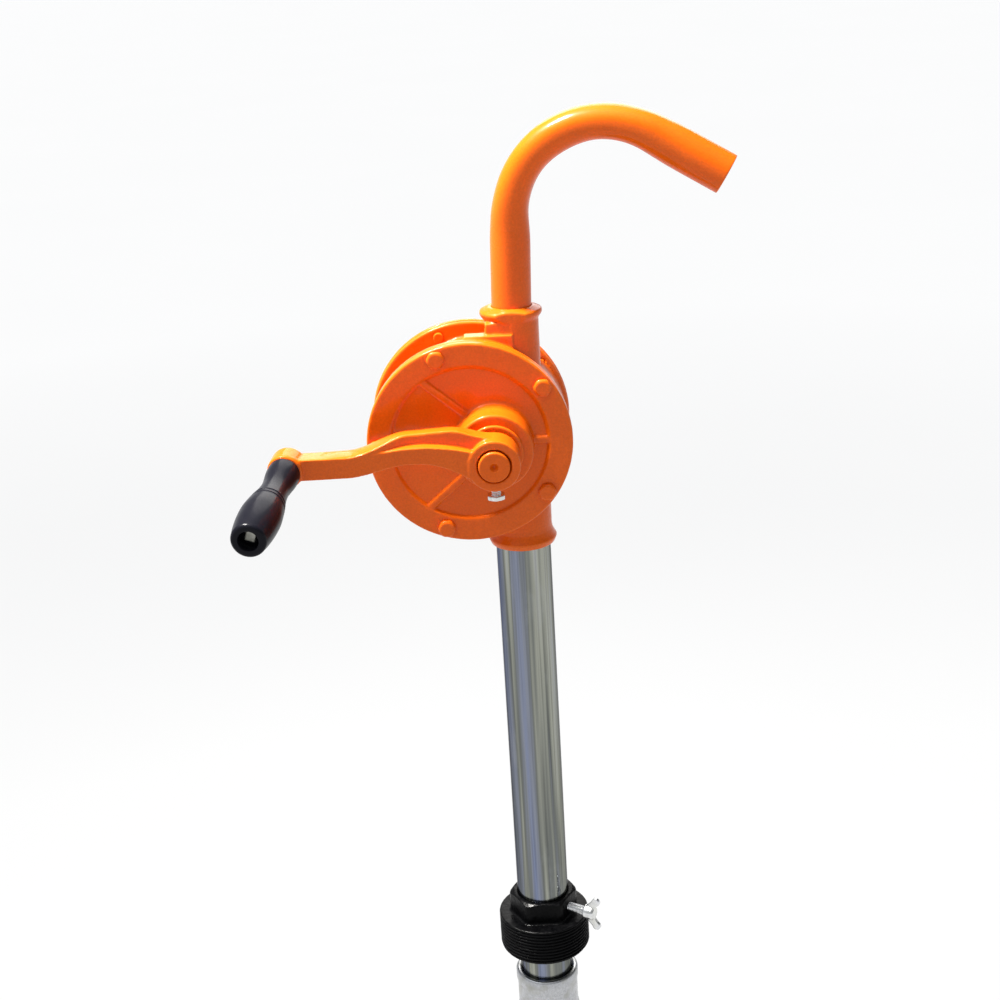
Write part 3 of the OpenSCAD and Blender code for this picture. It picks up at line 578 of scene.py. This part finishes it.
def spout(paint):
    """Bent pipe, leaning in its socket: drawn oval in the bend, round again at the mouth."""
    mount = MOUNTS["spout_end"]
    way = Vector(mount["axis"]).normalized()
    radius = mount["dims"]["r_mm"] * MM
    end_length = mount["dims"]["length_mm"] * MM
    wall = 2 * MM
    lean = radians(2)
    flattening, widening, squareness = 1.7 * MM, 0.7 * MM, 0.35
    ripple_depth, ripple_length = 0.22 * MM, 7.5 * MM
    side = Vector((-way.y, way.x, 0)).normalized()
    out = Vector((way.x, way.y, 0)).normalized()
    seat = Vector((0, 0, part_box("spout_pipe")[0].z + radius * sin(lean)))
    bend_end = Vector(mount["pos_m"]) - way * end_length / 2
    rise = out * sin(lean) + Z_AXIS * cos(lean)
    inward = out * cos(lean) - Z_AXIS * sin(lean)
    bend = acos(way.z) - lean
    # The pipe's two straight lines meet at a corner, as far from the bend's start as from its end.
    tangent = (bend_end - seat).dot(inward) / sin(bend)
    bend_r = tangent / tan(bend / 2)
    first = (bend_end - seat).dot(rise) - bend_r * sin(bend)
    bend_length = bend * bend_r
    total = first + bend_length + end_length

    def centre(s):
        """Centreline point at distance s from the foot, and the way to the bend's outside."""
        if s < first:
            return seat + rise * s, -inward
        a = min((s - first) / bend_r, bend)
        outward = rise * sin(a) - inward * cos(a)
        point = seat + rise * first + inward * bend_r + outward * bend_r
        return point + way * max(0.0, s - first - bend_length), outward

    def ring(s, inset, segments=96):
        """Section at distance s: oval and a little squarish in the bend, rippled on its inside."""
        bend_stop = first + bend_length
        entering = smooth_step(first - 14 * MM, first + 16 * MM, s)
        leaving = smooth_step(bend_stop - 18 * MM, bend_stop + 20 * MM, s)
        oval = entering * (1 - leaving)
        point, outward = centre(s)
        deep = radius - flattening * oval - inset
        wide = radius + widening * oval - inset
        power = 2 / (2 + squareness * oval)
        points = []
        for k in range(segments):
            a = 2 * pi * k / segments
            u = abs(cos(a)) ** power * (1 if cos(a) > 0 else -1)
            v = abs(sin(a)) ** power * (1 if sin(a) > 0 else -1)
            inside = max(0.0, -u) * oval
            ripple = ripple_depth * inside * sin((s - first) / ripple_length) if inset == 0 else 0.0
            points.append(point + outward * u * (deep + ripple) + side * v * wide)
        return points

    # The wall's outline, as (distance from the foot, depth under the outer skin).
    lip = 0.5 * MM
    stations = 150
    steps = [total * i / stations for i in range(stations)]
    outer = [(s, 0.0) for s in steps if s < total - 1.2 * lip]
    rim = [(total - lip + lip * sin(radians(a)), lip * (1 - cos(radians(a))))
           for a in (0, 22, 45, 68, 90)]
    inner_rim = [(total - lip + lip * cos(radians(a)), wall - lip * (1 - sin(radians(a))))
                 for a in (90, 45, 0)]
    inner = [(s, wall) for s in reversed(steps) if s < total - 2 * lip]
    rings = [ring(s, inset) for s, inset in outer + rim + inner_rim + inner]
    count = len(rings[0])
    faces = []
    for i in range(len(rings)):
        for k in range(count):
            here, there = i * count, (i + 1) % len(rings) * count
            n = (k + 1) % count
            faces.append((here + k, here + n, there + n, there + k))
    mesh = bpy.data.meshes.new("spout_bent_pipe")
    mesh.from_pydata([p for r in rings for p in r], [], faces)
    clean(mesh)
    dress(new_piece("spout_bent_pipe", mesh), paint, "mast", "orange_steel", "spout_pipe")


def tubes(zinc, socket):
    """Drawn tube sections with eased ends, and the sockets that join them."""
    for name in ("suction_tube_upper", "suction_tube_middle"):
        low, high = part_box(name)
        outer, wall, ease = high.x, 2 * MM, 0.4 * MM
        loop = (line((outer, low.z + ease), (outer, high.z - ease), 60)
                + arc((outer - ease, high.z - ease), ease, 0, 90, 4)
                + arc((outer - wall + ease, high.z - ease), ease, 90, 180, 4)
                + line((outer - wall, high.z - ease), (outer - wall, low.z + ease), 20)
                + arc((outer - wall + ease, low.z + ease), ease, 180, 270, 4)
                + arc((outer - ease, low.z + ease), ease, 270, 360, 4))
        piece = turned(name + "_drawn", lambda angle: loop, 128)
        dress(piece, zinc, "mast", "zinc_tube", name)
    foot = casting("suction_tube_lower", 0.6 * MM, 1, ((tube_axis, Z_AXIS),))
    dress(foot, zinc, "mast", "zinc_tube", "suction_tube_lower")
    for name in ("tube_coupling_upper", "tube_coupling_lower"):
        low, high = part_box(name)
        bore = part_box("suction_tube_upper")[1].x
        outer, bead, ease = high.x, 0.7 * MM, 1.4 * MM
        middle = (low.z + high.z) / 2
        half = (high.z - low.z) / 2

        def side(sign, outer=outer, middle=middle, half=half, bore=bore):
            """Outline from the waist to one end: the bead, the chamfer and the thread's mouth."""
            return [(outer - bead, middle), (outer - bead, middle + sign * (half - 9 * MM)),
                    (outer - 0.3 * bead, middle + sign * (half - 8 * MM)),
                    (outer, middle + sign * (half - 7 * MM)),
                    (outer, middle + sign * (half - ease)),
                    (outer - 0.4 * ease, middle + sign * (half - 0.4 * ease)),
                    (outer - ease, middle + sign * half), (bore + ease, middle + sign * half),
                    (bore, middle + sign * (half - ease)), (bore, middle)]
        loop = side(1) + list(reversed(side(-1)))[1:-1]
        dress(turned(name + "_socket", lambda angle: loop, 96), socket, "mast", "zinc", name)


def adapter(iron):
    """Bung adapter: rough hexagon with a turned chamfer on a threaded plug, hollow underneath."""
    low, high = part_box("bung_adapter")
    radius = MOUNTS["bung_thread"]["dims"]["r_mm"] * MM
    length = MOUNTS["bung_thread"]["dims"]["length_mm"] * MM
    pitch, depth = 2.309 * MM, 1.25 * MM
    corner, corner_ease = 23 * MM, 0.72 * MM
    flat = corner * cos(pi / 6)
    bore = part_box("suction_tube_upper")[1].x + 0.08 * MM
    top = high.z
    shoulder = 1 * MM
    under_ease = 1.2 * MM
    chamfer = 2.6 * MM
    roof = -length + 20 * MM
    inner_r = radius - 6 * MM
    per_pitch = 9

    def hexagon(angle):
        """Radius of the rounded hexagon, with a corner at angle 0."""
        deviation = (angle + pi / 6) % (pi / 3) - pi / 6
        edge = flat / cos(pi / 6 - abs(deviation))
        return edge - corner_ease * smooth_step(0.1, 0.0, abs(deviation))

    def loop(angle):
        turn = angle / (2 * pi)
        points = []
        steps = round(length / pitch * per_pitch)
        for i in range(steps + 1):
            z = -length + i * (length - 0.6 * MM) / steps
            run_in = smooth_step(-length, -length + 2 * MM, z)
            run_out = 1 - 0.55 * smooth_step(-2.2 * MM, -0.8 * MM, z)
            crest = run_in * run_out * thread(z / pitch - turn)
            points.append((radius - depth * (1 - crest), z))
        points += arc((radius - shoulder, 0), shoulder, 0, 90, 5)
        edge = hexagon(angle)
        points += line((radius - shoulder - 1 * MM, shoulder), (edge + under_ease, shoulder), 4)
        points += arc((edge + under_ease, shoulder + under_ease), under_ease, 270, 180, 4)
        points += line((edge, 3.4 * MM), (edge, top - chamfer), 12)
        for i in range(13):
            z = top - chamfer + chamfer * i / 12
            cone = corner - 3.4 * MM * (z - top + 2 * MM) / (2 * MM)
            points.append((min(edge - 0.3 * MM * smooth_step(top - 0.7 * MM, top, z), cone), z))
        lip = 0.6 * MM
        points += arc((bore + lip, top - lip), lip, 90, 180, 4)
        points += line((bore, top - 2 * MM), (bore, roof), 8)
        points += [(bore, roof), (inner_r - 1 * MM, roof), (inner_r, roof - 1 * MM)]
        points += line((inner_r, roof - 2 * MM), (inner_r, -length + lip), 6)
        points += arc((inner_r + lip, -length + lip), lip, 180, 270, 3)
        return points

    piece = turned("bung_adapter_threaded", loop, 240)
    screw = JOINTS["clamp_turn"]
    hole_r, hole_l = 3.15 * MM, 12 * MM
    start = Vector(screw["pos_m"]) - Vector(screw["axis"]) * 22 * MM
    hole_loop = [(0, 0), (hole_r, 0), (hole_r, hole_l), (0, hole_l)]
    hole = turned("screw_hole", lambda angle: hole_loop, 48, axis_matrix(start, screw["axis"]),
                  closed=False)
    cut = piece.modifiers.new("hole", "BOOLEAN")
    cut.object = hole
    cut.operation = "DIFFERENCE"
    cut.solver = "EXACT"
    apply_modifiers(piece)
    bpy.data.objects.remove(hole)
    roughen(piece.data, 0.09 * MM, 2.2 * MM)
    dress(piece, iron, "bung", "black_iron", "bung_adapter")


def clamp_screw(plate):
    """Threaded stud and the cast wings at its end."""
    joint = JOINTS["clamp_turn"]
    way = Vector(joint["axis"]).normalized()
    points = points_of(frame["nodes"]["wing_screw_stud"].data)
    heights = about_axis(points, (0, 0, joint["pos_m"][2]), way)[0]
    start, length = heights.min(), heights.max() - heights.min()
    radius, pitch, depth = 3 * MM, 1 * MM, 0.34 * MM

    def loop(angle):
        steps = round(length / pitch * 8)
        threaded = []
        for i in range(steps + 1):
            z = 0.5 * MM + i * (length - 1 * MM) / steps
            threaded.append((radius - depth * (1 - thread(z / pitch - angle / (2 * pi))), z))
        return [(0, 0), (radius - 0.9 * MM, 0), *threaded, (radius - 0.9 * MM, length), (0, length)]

    base = Vector((0, 0, joint["pos_m"][2])) + way * start
    stud = turned("wing_screw_thread", loop, 40, axis_matrix(base, way), closed=False)
    dress(stud, plate, "clamp_stud", "zinc", "wing_screw_stud")
    wings = casting("wing_screw_head", 0.28 * MM, 7, depth=0.04 * MM, size=2 * MM)
    dress(wings, plate, "clamp_wings", "zinc", "wing_screw_head")


def set_screw(plate):
    """Hexagon-headed set screw under the crank's hub: threaded shank, chamfered head."""
    low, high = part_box("crank_set_screw")
    centre = Vector(((low.x + high.x) / 2, (low.y + high.y) / 2, low.z))
    length = high.z - low.z
    head, radius, pitch, depth = 3 * MM, 3 * MM, 1 * MM, 0.32 * MM
    flat = 4.9 * MM

    def loop(angle):
        deviation = (angle + pi / 6) % (pi / 3) - pi / 6
        edge = min(flat / cos(deviation), flat * 1.12)
        outline = [(0, 0), (flat - 1 * MM, 0), (flat - 0.35 * MM, 0.12 * MM)]
        outline += [(min(edge, flat - 0.1 * MM + 1.4 * z), z)
                    for z in (0.35 * MM, 0.7 * MM, 1.1 * MM)]
        outline += [(edge, 1.6 * MM), (edge, head - 0.5 * MM), (edge - 0.25 * MM, head - 0.1 * MM),
                    (radius + 0.2 * MM, head)]
        steps = round((length - head) / pitch * 8)
        for i in range(steps + 1):
            z = head + i * (length - head - 0.3 * MM) / steps
            outline.append((radius - depth * (1 - thread(z / pitch - angle / (2 * pi))), z))
        return outline + [(0, length)]

    screw = turned("set_screw_hex", loop, 72, Matrix.Translation(centre), closed=False)
    dress(screw, plate, "crank", "zinc", "crank_set_screw")


def grip(plastic):
    """Turned grip with a flared foot, two fine rings, a full belly and a recessed end."""
    joint = JOINTS["grip_spin"]
    way = Vector(joint["axis"]).normalized()
    origin = Vector(joint["pos_m"])
    points = points_of(frame["nodes"]["handle_grip"].data)
    heights, offsets = about_axis(points, origin, way)
    start, end = heights.min(), heights.max()
    length = end - start
    radii = np.linalg.norm(offsets, axis=1)
    belly_r = radii.max()
    bore = radii.min() + 0.02 * MM
    foot_r, waist_r, end_r = 9.3 * MM, 7.9 * MM, 9.3 * MM
    recess_r, recess_l, recess_ease = 5.6 * MM, 9 * MM, 0.4 * MM
    waist_at, belly_at = 0.27, 0.7  # shares of the length

    def outside(s):
        """Radius at distance s from the arm's face."""
        t = (s - start) / length
        if t < waist_at:
            r = foot_r + (waist_r - foot_r) * smooth_step(0.05, waist_at, t)
        elif t < belly_at:
            r = waist_r + (belly_r - waist_r) * smooth_step(waist_at, belly_at, t)
        else:
            r = belly_r - (belly_r - end_r) * ((t - belly_at) / 0.3) ** 2
        for middle in (0.475, 0.525):
            groove = max(0.0, 1 - abs(t - middle) * length / (0.75 * MM))
            r -= 0.42 * MM * groove ** 1.5
            for edge in (-1, 1):
                away = abs(t - middle - edge * 1.1 * MM / length) * length
                r += 0.14 * MM * max(0.0, 1 - away / (0.6 * MM))
        return r

    foot_l = 0.8 * MM
    ease = 2.2 * MM
    steps = 220
    along = [start + foot_l + (length - ease - foot_l) * i / steps for i in range(steps)]
    last_r = outside(end - ease)
    outline = ([(bore, start), (foot_r - 0.9 * MM, start), (foot_r - 0.25 * MM, start + 0.25 * MM)]
               + [(outside(s), s) for s in along]
               + arc((last_r - ease, end - ease), ease, 0, 90, 8)
               + arc((recess_r + recess_ease, end - recess_ease), recess_ease, 90, 180, 4)
               + line((recess_r, end - 1 * MM), (recess_r, end - recess_l), 6)
               + [(recess_r, end - recess_l), (bore + 0.3 * MM, end - recess_l),
                  (bore, end - recess_l - 0.3 * MM)])
    handle = turned("handle_grip_turned", lambda angle: outline, 144, axis_matrix(origin, way))
    dress(handle, plastic, "grip", "grip_plastic", "handle_grip")
    spindle = casting("grip_spindle", 0.3 * MM, 2, depth=0.03 * MM, size=1.2 * MM)
    steel = metal("cut_steel", (0.36, 0.36, 0.32), 0.4, 0.9 * MM, 0.09 * MM, (0.2, 0.2, 0.17))
    dress(spindle, steel, "crank", "zinc", "grip_spindle")


def inner_parts():
    """Materials of the CAD nodes that stay: the gaskets and everything inside the casing."""
    painted_from = 59 * MM
    gasket = masked_enamel("gasket_sheet", distance_from_flange_axis, painted_from,
                           (0.2, 0.15, 0.1), 0.8, 0.0)
    bronze = metal("bronze", (0.62, 0.42, 0.18), 0.3, 1.5 * MM, 0.02 * MM, (0.45, 0.27, 0.12))
    iron = metal("oiled_iron", (0.3, 0.29, 0.28), 0.38, 0.9 * MM, 0.05 * MM, (0.16, 0.13, 0.11))
    steel = metal("steel", (0.55, 0.55, 0.57), 0.25, 0.6 * MM, 0.01 * MM)
    cord = packing_cord()
    looks = {"front_gasket": gasket, "rear_gasket": gasket, "front_bearing_bush": bronze,
             "rear_bearing_bush": bronze, "vane_upper": bronze, "vane_lower": bronze, "rotor": iron,
             "rotor_key": steel, "vane_springs": steel, "shaft_packing": cord}
    for name, material in looks.items():
        mesh = frame["nodes"][name].data
        mesh.materials.clear()
        mesh.materials.append(material)


add_camera()
add_world(base=0.04, horizon=0.9, glow=1.95, middle=(-0.25, -0.15, 1))
add_floor()
bpy.context.scene.view_settings.view_transform = "Standard"
add_light("key", place=(-0.5, 0.02, 1.38), target=(-0.03, -0.03, 0.4), size=0.3, power=76,
          colour=(1.0, 0.975, 0.93))
add_light("back", place=(0.2, 2.2, 1.5), target=(0, 0, 0.4), size=1.8, power=25,
          colour=(1.0, 0.98, 0.95))

cast_paint = enamel("orange_enamel_cast", 0.12 * MM, 0.034 * MM)
smooth_paint = enamel("orange_enamel_smooth", 0.05 * MM, 0.02 * MM)
zinc_plate = metal("zinc_plate", (0.8, 0.81, 0.83), 0.2, 1.4 * MM, 0.03 * MM, (0.66, 0.66, 0.58))

castings(cast_paint)
shaft()
spout(smooth_paint)
tubes(zinc_tube(),
      metal("zinc_socket", (0.5, 0.51, 0.53), 0.3, 0.9 * MM, 0.03 * MM, (0.34, 0.34, 0.3)))
adapter(black_iron())
clamp_screw(zinc_plate)
set_screw(zinc_plate)
grip(grip_plastic())
inner_parts()
